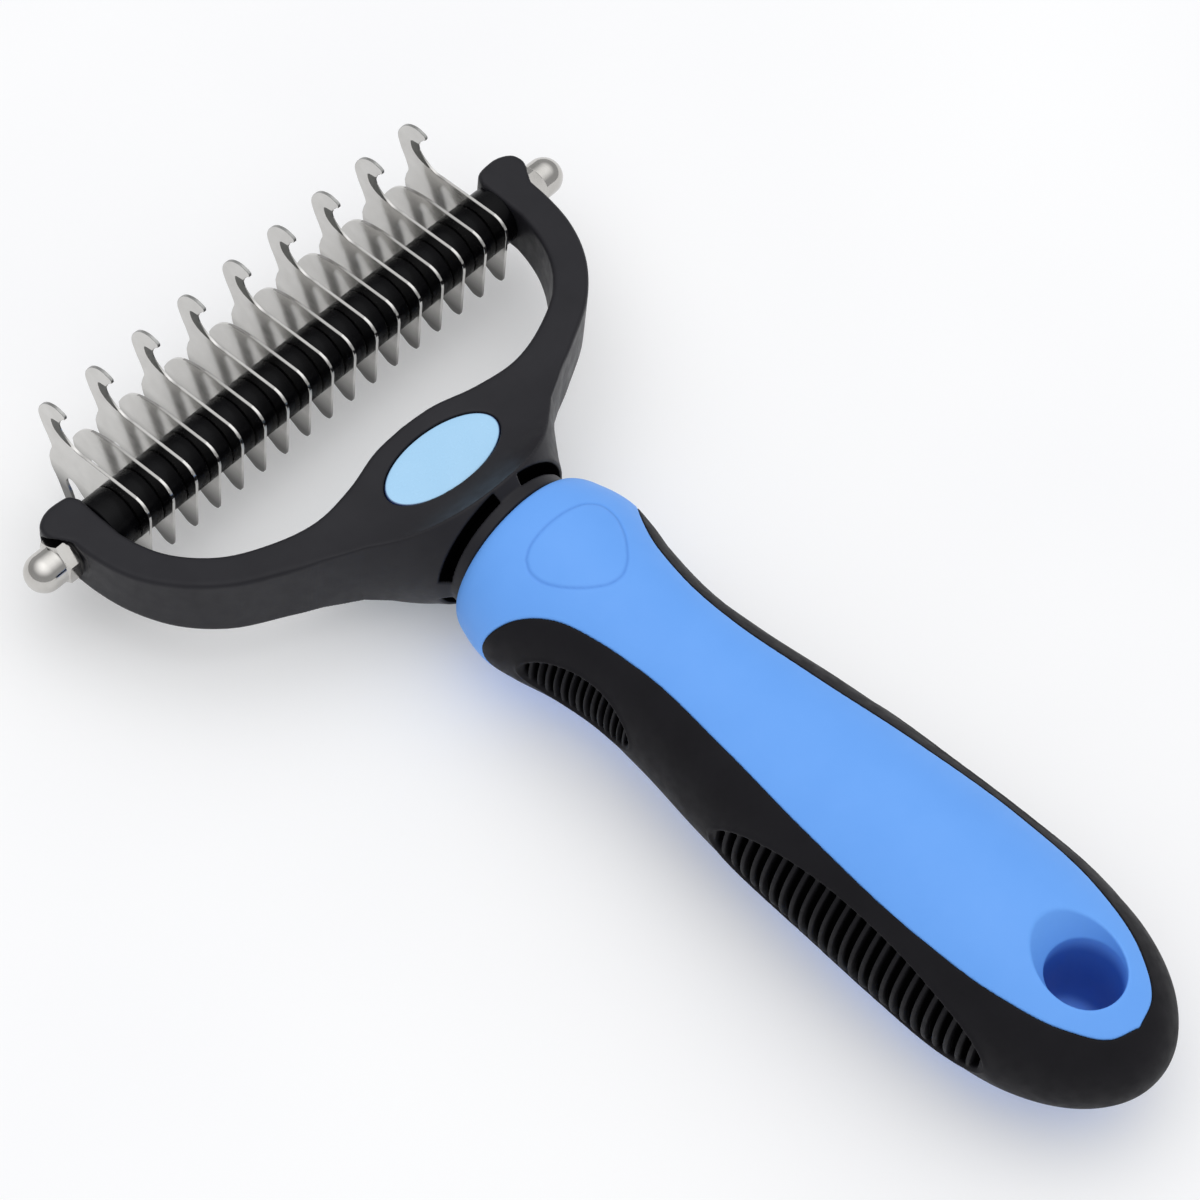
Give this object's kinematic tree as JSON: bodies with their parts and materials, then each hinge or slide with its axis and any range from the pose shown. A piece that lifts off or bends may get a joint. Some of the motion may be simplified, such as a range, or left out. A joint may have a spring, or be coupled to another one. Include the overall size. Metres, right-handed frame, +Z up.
{
  "type": "undercoat rake",
  "caption": "Double-sided pet undercoat rake: curved steel blades on a shaft across a U-shaped yoke, with a two-tone ribbed handle that has a hanging hole.",
  "frame": {"origin": "middle of the hanging hole in the butt of the handle, on its axis and halfway through", "axes": "+X parallel to the blade shaft, towards the right-hand nut, seen from above with the blades away from you; +Y forward along the handle to the blades; +Z up, along the hanging hole and square to the plane of the yoke"},
  "size_m": [0.1094, 0.1813, 0.03],
  "materials": {
    "frame_plastic": "satin charcoal moulding",
    "handle_plastic": "smooth satin blue",
    "grip_rubber": "matt black soft grip with moulded ribs",
    "badge_plastic": "glossy light blue, plain",
    "spacer_plastic": "glossy black",
    "blade_steel": "polished, with ground edges",
    "shaft_steel": "plain turned",
    "nut_chrome": "bright plated"
  },
  "bodies": {
    "rake": {"yoke_frame": "frame_plastic", "handle_core": "handle_plastic", "grip_overmould": "grip_rubber", "badge_top": "badge_plastic", "badge_bottom": "badge_plastic", "blade_shaft": "shaft_steel", "end_spacer_left": "spacer_plastic", "end_spacer_right": "spacer_plastic", "spacer_01": "spacer_plastic", "spacer_02": "spacer_plastic", "spacer_03": "spacer_plastic", "spacer_04": "spacer_plastic", "spacer_05": "spacer_plastic", "spacer_06": "spacer_plastic", "spacer_07": "spacer_plastic", "spacer_08": "spacer_plastic", "spacer_09": "spacer_plastic", "spacer_10": "spacer_plastic", "spacer_11": "spacer_plastic", "spacer_12": "spacer_plastic", "spacer_13": "spacer_plastic", "spacer_14": "spacer_plastic", "spacer_15": "spacer_plastic", "spacer_16": "spacer_plastic", "hook_blade_1": "blade_steel", "hook_blade_2": "blade_steel", "hook_blade_3": "blade_steel", "hook_blade_4": "blade_steel", "hook_blade_5": "blade_steel", "hook_blade_6": "blade_steel", "hook_blade_7": "blade_steel", "hook_blade_8": "blade_steel", "hook_blade_9": "blade_steel", "short_blade_1": "blade_steel", "short_blade_2": "blade_steel", "short_blade_3": "blade_steel", "short_blade_4": "blade_steel", "short_blade_5": "blade_steel", "short_blade_6": "blade_steel", "short_blade_7": "blade_steel", "short_blade_8": "blade_steel"},
    "left_nut": {"cap_nut_left": "nut_chrome"},
    "right_nut": {"cap_nut_right": "nut_chrome"}
  },
  "joints": [
    {"name": "cap_nut_left_turn", "type": "hinge", "parent": "rake", "child": "left_nut", "pos_m": [-0.05085, 0.1497, 0], "axis": [-1, 0, 0], "continuous": true},
    {"name": "cap_nut_right_turn", "type": "hinge", "parent": "rake", "child": "right_nut", "pos_m": [0.05085, 0.1497, 0], "axis": [1, 0, 0], "continuous": true}
  ]
}
